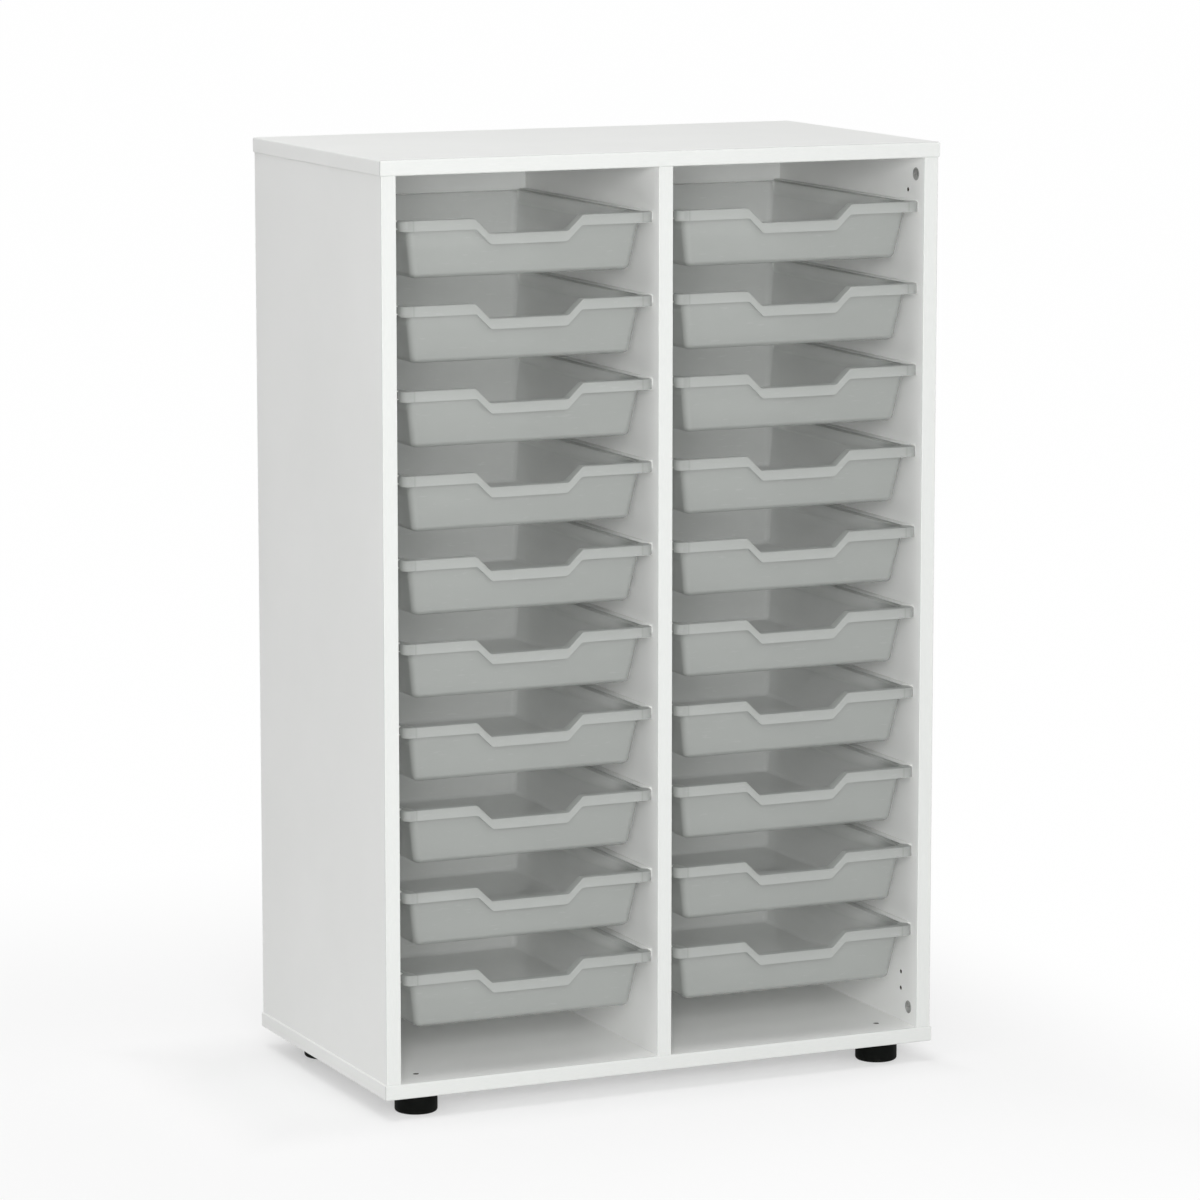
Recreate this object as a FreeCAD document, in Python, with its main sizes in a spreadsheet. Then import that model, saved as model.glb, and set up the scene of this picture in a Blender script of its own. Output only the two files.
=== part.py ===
import FreeCAD, Part
import math
import os
import re

import Sketcher
from FreeCAD import Rotation, Vector

# A free-standing cabinet with two columns of ten shallow trays. The frame's
# origin is on the floor under the middle of the cabinet, +Z up, fronts at -Y.

doc = FreeCAD.newDocument("tray_storage_unit")

# ---------------------------------------------------------------- sizes, mm

driving = {
    # boards
    "board_thickness": 18,
    "column_width": 324,
    "side_height": 1041,
    "side_depth": 397,
    "panel_overhang": 1.5,
    "edge_round": 2,
    "upright_edge_round": 1,
    "back_thickness": 8,
    "back_setback": 8,
    "groove_depth": 8,
    "groove_clearance": 0.3,
    # cam locks and their bolts, front and rear at each end of a side panel
    "cam_diameter": 15,
    "cam_depth": 12.5,
    "cam_clearance": 0.1,
    "cam_from_front": 21.5,
    "cam_from_rear": 60,
    "cam_from_end": 20.5,
    "cam_slot_width": 1.8,
    "cam_slot_length": 10,
    "cam_slot_depth": 1.2,
    "bolt_diameter": 7,
    "bolt_in_deck": 11,
    # dowels at the ends of the centre divider
    "dowel_diameter": 8,
    "dowel_length": 30,
    "dowel_in_deck": 11,
    "dowel_from_front": 40,
    "dowel_from_rear": 60,
    "pin_clearance": 0.3,
    # holes for hinge plates
    "hinge_hole_diameter": 5,
    "hinge_hole_depth": 12,
    "hinge_hole_spacing": 20,
    "hinge_holes_from_front": 41,
    "hinge_holes_from_end": 50,
    # feet
    "foot_height": 25,
    "foot_diameter": 50,
    "foot_from_front": 39,
    "foot_from_rear": 71,
    "foot_from_side": 52,
    "spindle_diameter": 10,
    "spindle_length": 13.5,
    "spindle_clearance": 0.08,
    "nut_across": 16,
    "nut_length": 14,
    "nut_clearance": 0.05,
    "access_hole_diameter": 7,
    "driver_slot_width": 1.6,
    "driver_slot_depth": 2,
    # trays
    "lowest_rim": 126,
    "gap_over_highest_rim": 51,
    "gap_beside_tray": 6,
    "gap_behind_tray": 7,
    "tray_height": 67,
    "tray_proud": 1,
    "tray_wall": 2,
    "tray_floor": 2,
    "tray_draft": 9.3,
    "tub_corner": 7,
    "rim_width": 10,
    "rim_thickness": 2,
    "rim_radius": 12,
    "rear_corner_cut": 3,
    "lip_height": 12,
    "lip_thickness": 2,
    "dip_top_width": 133,
    "dip_bottom_width": 96.6,
    "dip_depth": 17.6,
    "dip_lip_inset": 1.3,
    "flange_thickness": 2,
    "skirt_height": 5,
    "skirt_thickness": 1.5,
    # runners
    "flange_grip": 4,
    "runner_lip": 1.2,
    "runner_ledge": 1.5,
    "runner_stop": 3,
    "flange_clearance": 0.3,
    "skirt_clearance": 1.5,
    "step_clearance": 4,
}

trays_per_column = 10

# Small round pins, holes and discs are plain prisms with this many sides.
pin_sides = 6
disc_sides = 12
nut_sides = 6

# Sizes worked out from those above, each an expression on them.
derived = {
    "case_inner_half": "column_width + board_thickness / 2",
    "case_outer_half": "case_inner_half + board_thickness",
    "side_middle": "case_inner_half + board_thickness / 2",
    "deck_half_width": "case_outer_half + panel_overhang",
    "side_front": "-side_depth / 2",
    "side_rear": "side_depth / 2",
    "deck_half_depth": "side_rear + panel_overhang",
    "base_top": "foot_height + board_thickness",
    "side_top": "base_top + side_height",
    "column_centre": "(column_width + board_thickness) / 2",
    "back_rear": "side_rear - back_setback",
    "back_front": "back_rear - back_thickness",
    "back_half_width": "case_inner_half + groove_depth - groove_clearance",
    "groove_half_width": "case_inner_half + groove_depth",
    "divider_depth": "back_front - side_front",
    "cam_front": "side_front + cam_from_front",
    "cam_rear": "side_rear - cam_from_rear",
    "cam_bore": "cam_diameter + 2 * cam_clearance",
    "bolt_in_side": "cam_from_end - cam_bore / 2",
    "bolt_bore": "bolt_diameter + 2 * pin_clearance",
    "dowel_front": "side_front + dowel_from_front",
    "dowel_rear": "side_rear - dowel_from_rear",
    "dowel_bore": "dowel_diameter + 2 * pin_clearance",
    "foot_x": "case_outer_half - foot_from_side",
    "foot_front": "side_front + foot_from_front",
    "foot_rear": "side_rear - foot_from_rear",
    "nut_thread": "spindle_diameter + 2 * spindle_clearance",
    "nut_bore": "nut_across + 2 * nut_clearance",
    "tray_half": "column_width / 2 - gap_beside_tray",
    "tray_front": "side_front - tray_proud",
    "tray_rear": "back_front - gap_behind_tray",
    "tray_depth": "tray_rear - tray_front",
    "lowest_rim_height": "base_top + lowest_rim",
    "rim_heights_span": "side_height - lowest_rim - gap_over_highest_rim",
    "tray_pitch": f"rim_heights_span / {trays_per_column - 1}",
    "tub_half_width": "tray_half - rim_width",
    "tub_rear": "tray_depth - rim_width",
    "core_half_width": "tub_half_width - tray_wall",
    "core_front": "rim_width + tray_wall",
    "core_rear": "tub_rear - tray_wall",
    "core_height": "tray_height - tray_floor",
    "core_corner": "tub_corner - (2 - sqrt(2)) * tray_wall",
    "step_rear": "rim_radius + rim_thickness",
    "flange_top": "-rim_thickness",
    "flange_bottom": "flange_top - flange_thickness",
    "skirt_bottom": "flange_bottom - skirt_height",
    "skirt_inner": "tray_half - skirt_thickness",
    "skirt_rear": "tray_depth - rear_corner_cut",
    "slot_top": "flange_top + flange_clearance",
    "runner_top": "slot_top + runner_lip",
    "runner_bottom": "skirt_bottom - runner_ledge",
    "runner_width": "gap_beside_tray + flange_grip",
    "runner_web": "gap_beside_tray - skirt_clearance",
    "runner_front": "tray_front + step_rear + step_clearance",
    "runner_length": "tray_rear + runner_stop - runner_front",
}

sizes = doc.addObject("Spreadsheet::Sheet", "Sizes")
for row, (alias, number) in enumerate(driving.items(), start=1):
    sizes.set(f"A{row}", alias)
    sizes.set(f"B{row}", str(number))
    sizes.setAlias(f"B{row}", alias)
doc.recompute()


def expand(text):
    """The expression with every size written as a cell of the sheet."""

    def cell(match):
        word = match.group(0)
        if word in derived:
            return "(" + expand(derived[word]) + ")"
        if word in driving:
            return "Sizes." + word
        return word

    return re.sub(r"[a-z][a-z_]*", cell, text)


def value(text):
    return float(sizes.evalExpression(expand(text)))


def bind(item, property_name, text):
    item.setExpression(property_name, expand(text))


# ------------------------------------------------------- sketches, features

same_place = 1e-6
upward = Vector(0, 0, 1)


def add_body(name):
    return doc.addObject("PartDesign::Body", name)


def add_sketch(body, plane, level="0"):
    """A sketch parallel to one of the body's own planes, at a level along its normal."""
    sketch = body.newObject("Sketcher::SketchObject", "Sketch")
    for item in body.Origin.OriginFeatures:
        if item.Role == plane:
            sketch.AttachmentSupport = (item, "")
    sketch.MapMode = "FlatFace"
    bind(sketch, "AttachmentOffset.Base.z", level)
    return sketch


def dimension(sketch, kind, geometry, point, text):
    """Holds a point of the sketch at a distance from its origin along x or y."""
    axis = -2 if kind == "DistanceX" else -1
    if abs(value(text)) < same_place:
        sketch.addConstraint(Sketcher.Constraint("PointOnObject", geometry, point, axis))
        return
    held = Sketcher.Constraint(kind, -1, 1, geometry, point, value(text))
    index = sketch.addConstraint(held)
    bind(sketch, f"Constraints[{index}]", text)


def outline(sketch, points):
    """A closed outline of straight lines through points given as expressions."""
    first = sketch.GeometryCount
    count = len(points)
    numbers = [Vector(value(x), value(y), 0) for x, y in points]
    for index in range(count):
        line = Part.LineSegment(numbers[index], numbers[(index + 1) % count])
        sketch.addGeometry(line)
    for index in range(count):
        following = first + (index + 1) % count
        sketch.addConstraint(Sketcher.Constraint("Coincident", first + index, 2, following, 1))
    for index, (x, y) in enumerate(points):
        dimension(sketch, "DistanceX", first + index, 1, x)
        dimension(sketch, "DistanceY", first + index, 1, y)


def rectangle(sketch, left, low, right, high):
    outline(sketch, [(left, low), (right, low), (right, high), (left, high)])


def polygon(sketch, x, y, across, sides):
    """An even-sided regular outline about a point, with a distance across its flats."""
    step = 360 / sides
    points = []
    for index in range(sides):
        angle = (index + 0.5) * step
        reach = f"{across} / 2 / cos({step / 2})"
        points.append((f"{x} + {reach} * cos({angle})", f"{y} + {reach} * sin({angle})"))
    outline(sketch, points)


def circle(sketch, x, y, radius):
    centre = Vector(value(x), value(y), 0)
    geometry = sketch.addGeometry(Part.Circle(centre, upward, value(radius)))
    index = sketch.addConstraint(Sketcher.Constraint("Radius", geometry, value(radius)))
    bind(sketch, f"Constraints[{index}]", radius)
    dimension(sketch, "DistanceX", geometry, 3, x)
    dimension(sketch, "DistanceY", geometry, 3, y)


def add_pad(body, sketch, length, backwards=False):
    pad = body.newObject("PartDesign::Pad", "Pad")
    pad.Profile = sketch
    pad.Reversed = backwards
    bind(pad, "Length", length)
    return pad


def add_pocket(body, sketch, length, backwards=False):
    """Cuts against the sketch's normal, or along it when backwards is true."""
    pocket = body.newObject("PartDesign::Pocket", "Pocket")
    pocket.Profile = sketch
    pocket.Reversed = backwards
    bind(pocket, "Length", length)
    return pocket


def pick(base, kind, chosen):
    """Names of the edges or faces of a feature for which chosen(bounding box) is true."""
    doc.recompute()
    names = []
    for index, item in enumerate(getattr(base.Shape, kind + "s"), start=1):
        if chosen(item.BoundBox):
            names.append(f"{kind}{index}")
    return (base, names)


def add_fillet(body, base, radius, chosen):
    fillet = body.newObject("PartDesign::Fillet", "Fillet")
    fillet.Base = pick(base, "Edge", chosen)
    bind(fillet, "Radius", radius)
    return fillet


def add_chamfer(body, base, size, chosen):
    chamfer = body.newObject("PartDesign::Chamfer", "Chamfer")
    chamfer.Base = pick(base, "Edge", chosen)
    bind(chamfer, "Size", size)
    return chamfer


def add_draft(body, base, angle, chosen):
    """Leans faces inwards below the body's own XY plane."""
    draft = body.newObject("PartDesign::Draft", "Draft")
    draft.Base = pick(base, "Face", chosen)
    for item in body.Origin.OriginFeatures:
        if item.Role == "XY_Plane":
            draft.NeutralPlane = (item, [""])
    draft.Reversed = True
    bind(draft, "Angle", angle)
    return draft


# ------------------------------------------------------------ repeated items

nodes = []
upside_down = Rotation(Vector(1, 0, 0), 180)
turned_about = Rotation(Vector(0, 0, 1), 180)


def place(item, x="0", y="0", z="0"):
    bind(item, "Placement.Base.x", x)
    bind(item, "Placement.Base.y", y)
    bind(item, "Placement.Base.z", z)
    return item


def keep(item, label, x="0", y="0", z="0"):
    """Names a sub-part, puts it in its place and lists it for writing."""
    item.Label = label
    nodes.append(place(item, x, y, z))
    return item


def add_link(master, turn=Rotation()):
    link = doc.addObject("App::Link", master.Name + "_at")
    link.LinkedObject = master
    link.LinkTransform = False
    link.Placement.Rotation = turn
    return link


def keep_group(items, label):
    """One node that holds several separate, alike solids."""
    group = doc.addObject("Part::Compound", label)
    group.Links = items
    return keep(group, label)


# ------------------------------------------------------------------ cabinet


def cut_deck(body, level, along):
    """Back groove and pin holes in a panel's inner face; along cuts along +Z."""
    groove = add_sketch(body, "XY_Plane", level)
    rear = "back_rear + groove_clearance"
    rectangle(groove, "-groove_half_width", "back_front", "groove_half_width", rear)
    add_pocket(body, groove, "groove_depth", along)
    bolts = add_sketch(body, "XY_Plane", level)
    for x in ("-side_middle", "side_middle"):
        for y in ("cam_front", "cam_rear"):
            polygon(bolts, x, y, "bolt_bore", pin_sides)
    add_pocket(body, bolts, "bolt_in_deck + pin_clearance", along)
    dowels = add_sketch(body, "XY_Plane", level)
    for y in ("dowel_front", "dowel_rear"):
        polygon(dowels, "0", y, "dowel_bore", pin_sides)
    return add_pocket(body, dowels, "dowel_in_deck + pin_clearance", along)


def add_deck(name):
    body = add_body(name)
    plan = add_sketch(body, "XY_Plane")
    rectangle(plan, "-deck_half_width", "-deck_half_depth", "deck_half_width", "deck_half_depth")
    add_pad(body, plan, "board_thickness")
    return body


def round_deck(body, last):
    """Rounds the long edges of all four sides, above and below."""
    half_width = value("deck_half_width")
    half_depth = value("deck_half_depth")

    def outer(box):
        flat = box.ZLength < same_place
        at_side = box.XLength < same_place and abs(abs(box.XMin) - half_width) < same_place
        at_front = box.YLength < same_place and abs(abs(box.YMin) - half_depth) < same_place
        return flat and (at_side or at_front)

    add_fillet(body, last, "edge_round", outer)


def make_top_panel():
    body = add_deck("TopPanel")
    last = cut_deck(body, "0", True)
    round_deck(body, last)
    keep(body, "top_panel", z="side_top")


def make_base_panel():
    body = add_deck("BasePanel")
    cut_deck(body, "board_thickness", False)
    nuts = add_sketch(body, "XY_Plane")
    access = add_sketch(body, "XY_Plane")
    for x in ("-foot_x", "foot_x"):
        for y in ("foot_front", "foot_rear"):
            polygon(nuts, x, y, "nut_bore", nut_sides)
            polygon(access, x, y, "access_hole_diameter", disc_sides)
    add_pocket(body, nuts, "nut_length", True)
    last = add_pocket(body, access, "board_thickness", True)
    round_deck(body, last)
    keep(body, "base_panel", z="foot_height")


def add_upright(name, depth):
    """A standing board from x = 0 to its thickness, y from its front, z from its foot."""
    body = add_body(name)
    plan = add_sketch(body, "YZ_Plane")
    rectangle(plan, "0", "0", depth, "side_height")
    add_pad(body, plan, "board_thickness")
    return body


def cut_end_bores(body, places, across, depth):
    """Pin holes up into a board from both of its ends."""
    for level, along in (("0", True), ("side_height", False)):
        bores = add_sketch(body, "XY_Plane", level)
        for y in places:
            polygon(bores, "board_thickness / 2", y, across, pin_sides)
        last = add_pocket(body, bores, depth, along)
    return last


def round_front(body, last):
    def front(box):
        return abs(box.YMax) < same_place and box.ZLength > value("side_height") / 2

    return add_fillet(body, last, "upright_edge_round", front)


def make_side_panels():
    body = add_upright("SidePanel", "side_depth")
    groove = add_sketch(body, "YZ_Plane")
    rear = "divider_depth + back_thickness + groove_clearance"
    rectangle(groove, "divider_depth", "0", rear, "side_height")
    add_pocket(body, groove, "groove_depth", True)
    rows = ("cam_from_front", "side_depth - cam_from_rear")
    last = cut_end_bores(body, rows, "bolt_bore", "cam_from_end")
    round_front(body, last)
    cams = add_sketch(body, "YZ_Plane")
    for y in rows:
        for z in ("cam_from_end", "side_height - cam_from_end"):
            polygon(cams, y, z, "cam_bore", disc_sides)
    add_pocket(body, cams, "cam_depth + cam_clearance", True)
    holes = add_sketch(body, "YZ_Plane")
    for end in ("hinge_holes_from_end", "side_height - hinge_holes_from_end"):
        for step in ("- hinge_hole_spacing / 2", "+ hinge_hole_spacing / 2"):
            circle(holes, "hinge_holes_from_front", end + step, "hinge_hole_diameter / 2")
    add_pocket(body, holes, "hinge_hole_depth", True)
    mirrored = doc.addObject("Part::Mirroring", "SidePanelLeft")
    mirrored.Source = body
    mirrored.Normal = Vector(1, 0, 0)
    keep(body, "side_panel_right", "case_inner_half", "side_front", "base_top")
    keep(mirrored, "side_panel_left")


def make_divider():
    body = add_upright("CentreDivider", "divider_depth")
    rows = ("dowel_from_front", "side_depth - dowel_from_rear")
    depth = "dowel_length - dowel_in_deck + pin_clearance"
    last = cut_end_bores(body, rows, "dowel_bore", depth)
    round_front(body, last)
    keep(body, "centre_divider", "-board_thickness / 2", "side_front", "base_top")


def make_back_panel():
    body = add_body("BackPanel")
    plan = add_sketch(body, "XY_Plane")
    rectangle(plan, "-back_half_width", "back_front", "back_half_width", "back_rear")
    add_pad(body, plan, "side_height + 2 * groove_depth - groove_clearance")
    keep(body, "back_panel", z="base_top - groove_depth")


# ----------------------------------------------------------------- fittings


def make_cam():
    """A cam disc with its slotted face at x = 0, let into the board towards +X."""
    body = add_body("CamLock")
    disc = add_sketch(body, "YZ_Plane")
    polygon(disc, "0", "0", "cam_diameter", disc_sides)
    add_pad(body, disc, "cam_depth")
    slot = add_sketch(body, "YZ_Plane")
    width = "cam_slot_width / 2"
    length = "cam_slot_length / 2"
    rectangle(slot, "-" + width, "-" + length, width, length)
    add_pocket(body, slot, "cam_slot_depth", True)
    return body


def make_pin(name, across, below, above):
    """A hidden round pin as a plain six-sided bar, across z = 0."""
    body = add_body(name)
    section = add_sketch(body, "XY_Plane", "-(" + below + ")")
    polygon(section, "0", "0", across, pin_sides)
    add_pad(body, section, below + " + " + above)
    return body


def make_cam_fittings():
    cam = make_cam()
    bolt = make_pin("CamBolt", "bolt_diameter", "bolt_in_side", "bolt_in_deck")
    cams = []
    bolts = []
    for y in ("cam_front", "cam_rear"):
        for sign, turn in (("", Rotation()), ("-", turned_about)):
            face = sign + "case_inner_half"
            middle = sign + "side_middle"
            cams.append(place(add_link(cam, turn), face, y, "side_top - cam_from_end"))
            cams.append(place(add_link(cam, turn), face, y, "base_top + cam_from_end"))
            bolts.append(place(add_link(bolt), middle, y, "side_top"))
            bolts.append(place(add_link(bolt, upside_down), middle, y, "base_top"))
    keep_group(cams, "cam_locks")
    keep_group(bolts, "cam_bolts")


def make_dowels():
    length = "dowel_length - dowel_in_deck"
    dowel = make_pin("Dowel", "dowel_diameter", length, "dowel_in_deck")
    dowels = []
    for y in ("dowel_front", "dowel_rear"):
        dowels.append(place(add_link(dowel), "0", y, "side_top"))
        dowels.append(place(add_link(dowel, upside_down), "0", y, "base_top"))
    keep_group(dowels, "divider_dowels")


# --------------------------------------------------------------------- feet


def make_foot_pad():
    body = add_body("FootPad")
    plan = add_sketch(body, "XY_Plane")
    circle(plan, "0", "0", "foot_diameter / 2")
    add_pad(body, plan, "foot_height")
    return body


def make_spindle():
    """The threaded spindle that stands on the pad, with a driver slot in its top."""
    body = add_body("FootSpindle")
    plan = add_sketch(body, "XY_Plane")
    circle(plan, "0", "0", "spindle_diameter / 2")
    add_pad(body, plan, "spindle_length")
    slot = add_sketch(body, "XY_Plane", "spindle_length")
    width = "driver_slot_width / 2"
    rectangle(slot, "-spindle_diameter", "-" + width, "spindle_diameter", width)
    add_pocket(body, slot, "driver_slot_depth")
    return body


def make_nut():
    body = add_body("FootNut")
    plan = add_sketch(body, "XY_Plane")
    polygon(plan, "0", "0", "nut_across", nut_sides)
    polygon(plan, "0", "0", "nut_thread", disc_sides)
    add_pad(body, plan, "nut_length")
    return body


def make_feet():
    pad = make_foot_pad()
    spindle = make_spindle()
    nut = make_nut()
    nuts = []
    for depth, y in (("front", "foot_front"), ("rear", "foot_rear")):
        for side, x in (("left", "-foot_x"), ("right", "foot_x")):
            keep(add_link(pad), f"foot_{depth}_{side}", x, y)
            keep(add_link(spindle), f"foot_spindle_{depth}_{side}", x, y, "foot_height")
            nuts.append(place(add_link(nut), x, y, "foot_height"))
    keep_group(nuts, "foot_nuts")


# -------------------------------------------------------------------- trays


def front_outline(sketch):
    """The rim's front edge with two quarter-round corners, closed behind them."""
    half = value("tray_half")
    radius = value("rim_radius")
    turn = math.pi / 2
    right = Part.Circle(Vector(half - radius, radius, 0), upward, radius)
    left = Part.Circle(Vector(radius - half, radius, 0), upward, radius)
    sketch.addGeometry(Part.LineSegment(Vector(radius - half, 0, 0), Vector(half - radius, 0, 0)))
    sketch.addGeometry(Part.ArcOfCircle(right, -turn, 0))
    sketch.addGeometry(Part.LineSegment(Vector(half, radius, 0), Vector(-half, radius, 0)))
    sketch.addGeometry(Part.ArcOfCircle(left, 2 * turn, 3 * turn))
    front, right_arc, back, left_arc = range(4)
    for one, other in ((front, right_arc), (left_arc, front)):
        sketch.addConstraint(Sketcher.Constraint("Tangent", one, 2, other, 1))
    for one, other in ((right_arc, back), (back, left_arc)):
        sketch.addConstraint(Sketcher.Constraint("Coincident", one, 2, other, 1))
    sketch.addConstraint(Sketcher.Constraint("Horizontal", front))
    for arc in (right_arc, left_arc):
        held = sketch.addConstraint(Sketcher.Constraint("Radius", arc, radius))
        bind(sketch, f"Constraints[{held}]", "rim_radius")
    dimension(sketch, "DistanceY", front, 1, "0")
    dimension(sketch, "DistanceX", back, 1, "tray_half")
    dimension(sketch, "DistanceY", back, 1, "rim_radius")
    dimension(sketch, "DistanceX", back, 2, "-tray_half")


def add_drafted_block(body, half_width, front, rear, height, corner):
    """A block below z = 0 with drafted sides and its four upright edges cut off."""

    def upright(box):
        return box.ZLength > value(height) / 2

    plan = add_sketch(body, "XY_Plane")
    rectangle(plan, "-" + half_width, front, half_width, rear)
    pad = add_pad(body, plan, height, True)
    draft = add_draft(body, pad, "tray_draft", upright)
    add_chamfer(body, draft, corner, upright)


def add_flange(body):
    """The lowered flange and its turned-down edges, which the runners hold."""
    flange = add_sketch(body, "XY_Plane", "flange_top")
    inner = "tray_half - rear_corner_cut"
    points = [
        ("-tray_half", "rim_radius"),
        ("tray_half", "rim_radius"),
        ("tray_half", "skirt_rear"),
        (inner, "tray_depth"),
        ("-(" + inner + ")", "tray_depth"),
        ("-tray_half", "skirt_rear"),
    ]
    outline(flange, points)
    add_pad(body, flange, "flange_thickness", True)
    skirts = add_sketch(body, "XY_Plane", "flange_bottom")
    rectangle(skirts, "-tray_half", "rim_radius", "-skirt_inner", "skirt_rear")
    rectangle(skirts, "skirt_inner", "rim_radius", "tray_half", "skirt_rear")
    add_pad(body, skirts, "skirt_height", True)


def add_front(body):
    """The front rim, the lip that hangs round it, and the step down to the flange."""
    block = add_sketch(body, "XY_Plane")
    front_outline(block)
    add_pad(body, block, "lip_height", True)
    hollow = add_sketch(body, "XY_Plane", "-rim_thickness")
    inner = "tray_half - lip_thickness"
    corner = "tray_half - rim_radius"
    points = [
        ("-(" + corner + ")", "lip_thickness"),
        (corner, "lip_thickness"),
        (inner, "rim_radius"),
        ("-(" + inner + ")", "rim_radius"),
    ]
    outline(hollow, points)
    add_pocket(body, hollow, "lip_height")
    step = add_sketch(body, "XY_Plane")
    rectangle(step, "-tray_half", "rim_radius", "tray_half", "step_rear")
    add_pad(body, step, "rim_thickness + flange_thickness", True)


def add_dip(body, drop, length, inset):
    """A band that follows the finger dip's edge, drop high, back from the front."""
    band = add_sketch(body, "XZ_Plane")
    top = "dip_top_width / 2"
    bottom = "dip_bottom_width / 2"
    points = [
        ("-" + top, "0"),
        ("-" + bottom, "-dip_depth"),
        (bottom, "-dip_depth"),
        (top, "0"),
        (f"{top} - {inset}", f"-{drop}"),
        (f"{bottom} - {inset}", f"-(dip_depth + {drop})"),
        (f"-({bottom} - {inset})", f"-(dip_depth + {drop})"),
        (f"-({top} - {inset})", f"-{drop}"),
    ]
    outline(band, points)
    add_pad(body, band, length, True)


def cut_dip(body):
    dip = add_sketch(body, "XZ_Plane")
    points = [
        ("-dip_bottom_width / 2", "-dip_depth"),
        ("dip_bottom_width / 2", "-dip_depth"),
        ("dip_top_width / 2", "0"),
        ("-dip_top_width / 2", "0"),
    ]
    outline(dip, points)
    add_pocket(body, dip, "2 * rim_width")


def make_tray():
    """One moulded tray; its origin is the middle of the front rim's top edge."""
    body = add_body("TrayOutside")
    add_drafted_block(body, "tub_half_width", "rim_width", "tub_rear", "tray_height", "tub_corner")
    add_flange(body)
    add_front(body)
    cut_dip(body)
    add_dip(body, "lip_height", "lip_thickness", "dip_lip_inset")
    add_dip(body, "rim_thickness", "2 * rim_width", "0")
    lowered = add_sketch(body, "XY_Plane")
    rectangle(lowered, "-tray_half", "step_rear", "tray_half", "tray_depth")
    add_pocket(body, lowered, "rim_thickness")
    core = add_body("TrayCore")
    add_drafted_block(core, "core_half_width", "core_front", "core_rear", "core_height", "core_corner")
    tray = doc.addObject("Part::Cut", "Tray")
    tray.Base = body
    tray.Tool = core
    return tray


def make_runner_pair():
    """The right-hand runner of a column and its mirror image; z = 0 at the rim's top."""
    body = add_body("Runner")
    bar = add_sketch(body, "XZ_Plane")
    rectangle(bar, "-runner_width", "runner_bottom", "0", "runner_top")
    add_pad(body, bar, "runner_length", True)
    slot = add_sketch(body, "XZ_Plane")
    rectangle(slot, "-2 * runner_width", "skirt_bottom", "-runner_web", "slot_top")
    add_pocket(body, slot, "runner_length - runner_stop")
    mirrored = doc.addObject("Part::Mirroring", "RunnerLeftHand")
    mirrored.Source = body
    mirrored.Normal = Vector(1, 0, 0)
    bind(mirrored, "Base.x", "-column_width / 2")
    pair = doc.addObject("Part::Compound", "RunnerPair")
    pair.Links = [body, mirrored]
    return pair


def make_columns():
    tray = make_tray()
    pair = make_runner_pair()
    for side, centre in (("left", "-column_centre"), ("right", "column_centre")):
        wall = centre + " + column_width / 2"
        for number in range(1, trays_per_column + 1):
            rim = f"lowest_rim_height + {trays_per_column - number} * tray_pitch"
            place_name = f"{side}_{number:02d}"
            keep(add_link(tray), "tray_" + place_name, centre, "tray_front", rim)
            keep(add_link(pair), "runners_" + place_name, wall, "runner_front", rim)


# ----------------------------------------------------------------- assembly

make_top_panel()
make_base_panel()
make_side_panels()
make_divider()
make_back_panel()
make_cam_fittings()
make_dowels()
make_feet()
make_columns()
doc.recompute()

faults = []
for item in doc.Objects:
    if "Invalid" in item.State or "Error" in item.State:
        faults.append(f"{item.Label}: {item.State}")
for item in nodes:
    if item.Shape.isNull() or not item.Shape.isValid():
        faults.append(f"{item.Label}: shape is null or not valid")
if faults:
    raise RuntimeError("; ".join(faults))

os.makedirs("parts", exist_ok=True)
for item in nodes:
    item.Shape.exportStep(f"parts/{item.Label}.step")
print(len(nodes), "nodes written")
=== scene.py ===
import math

import bmesh
import bpy
from mathutils import Matrix, Vector


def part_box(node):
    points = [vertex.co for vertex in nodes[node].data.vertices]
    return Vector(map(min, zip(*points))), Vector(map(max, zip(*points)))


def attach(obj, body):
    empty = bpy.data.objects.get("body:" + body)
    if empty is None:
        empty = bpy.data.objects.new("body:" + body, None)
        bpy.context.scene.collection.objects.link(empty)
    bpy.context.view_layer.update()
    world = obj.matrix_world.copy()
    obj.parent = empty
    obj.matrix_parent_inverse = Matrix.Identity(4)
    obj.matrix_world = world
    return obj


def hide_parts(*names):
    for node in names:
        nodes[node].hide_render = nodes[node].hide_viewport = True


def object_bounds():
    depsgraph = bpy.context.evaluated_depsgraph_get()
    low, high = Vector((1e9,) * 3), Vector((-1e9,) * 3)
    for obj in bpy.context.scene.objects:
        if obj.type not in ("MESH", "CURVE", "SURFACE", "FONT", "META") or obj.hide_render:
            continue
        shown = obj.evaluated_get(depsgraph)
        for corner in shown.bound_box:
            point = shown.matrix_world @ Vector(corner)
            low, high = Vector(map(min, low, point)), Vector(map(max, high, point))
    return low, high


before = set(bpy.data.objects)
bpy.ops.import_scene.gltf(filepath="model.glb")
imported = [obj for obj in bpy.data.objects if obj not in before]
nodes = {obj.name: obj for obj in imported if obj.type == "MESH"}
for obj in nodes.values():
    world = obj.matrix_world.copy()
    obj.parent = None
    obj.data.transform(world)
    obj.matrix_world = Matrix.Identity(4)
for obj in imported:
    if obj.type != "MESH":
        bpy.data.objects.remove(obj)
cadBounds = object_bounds()
mm = 0.001
print("frame loaded,", len(nodes), "nodes")


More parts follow.
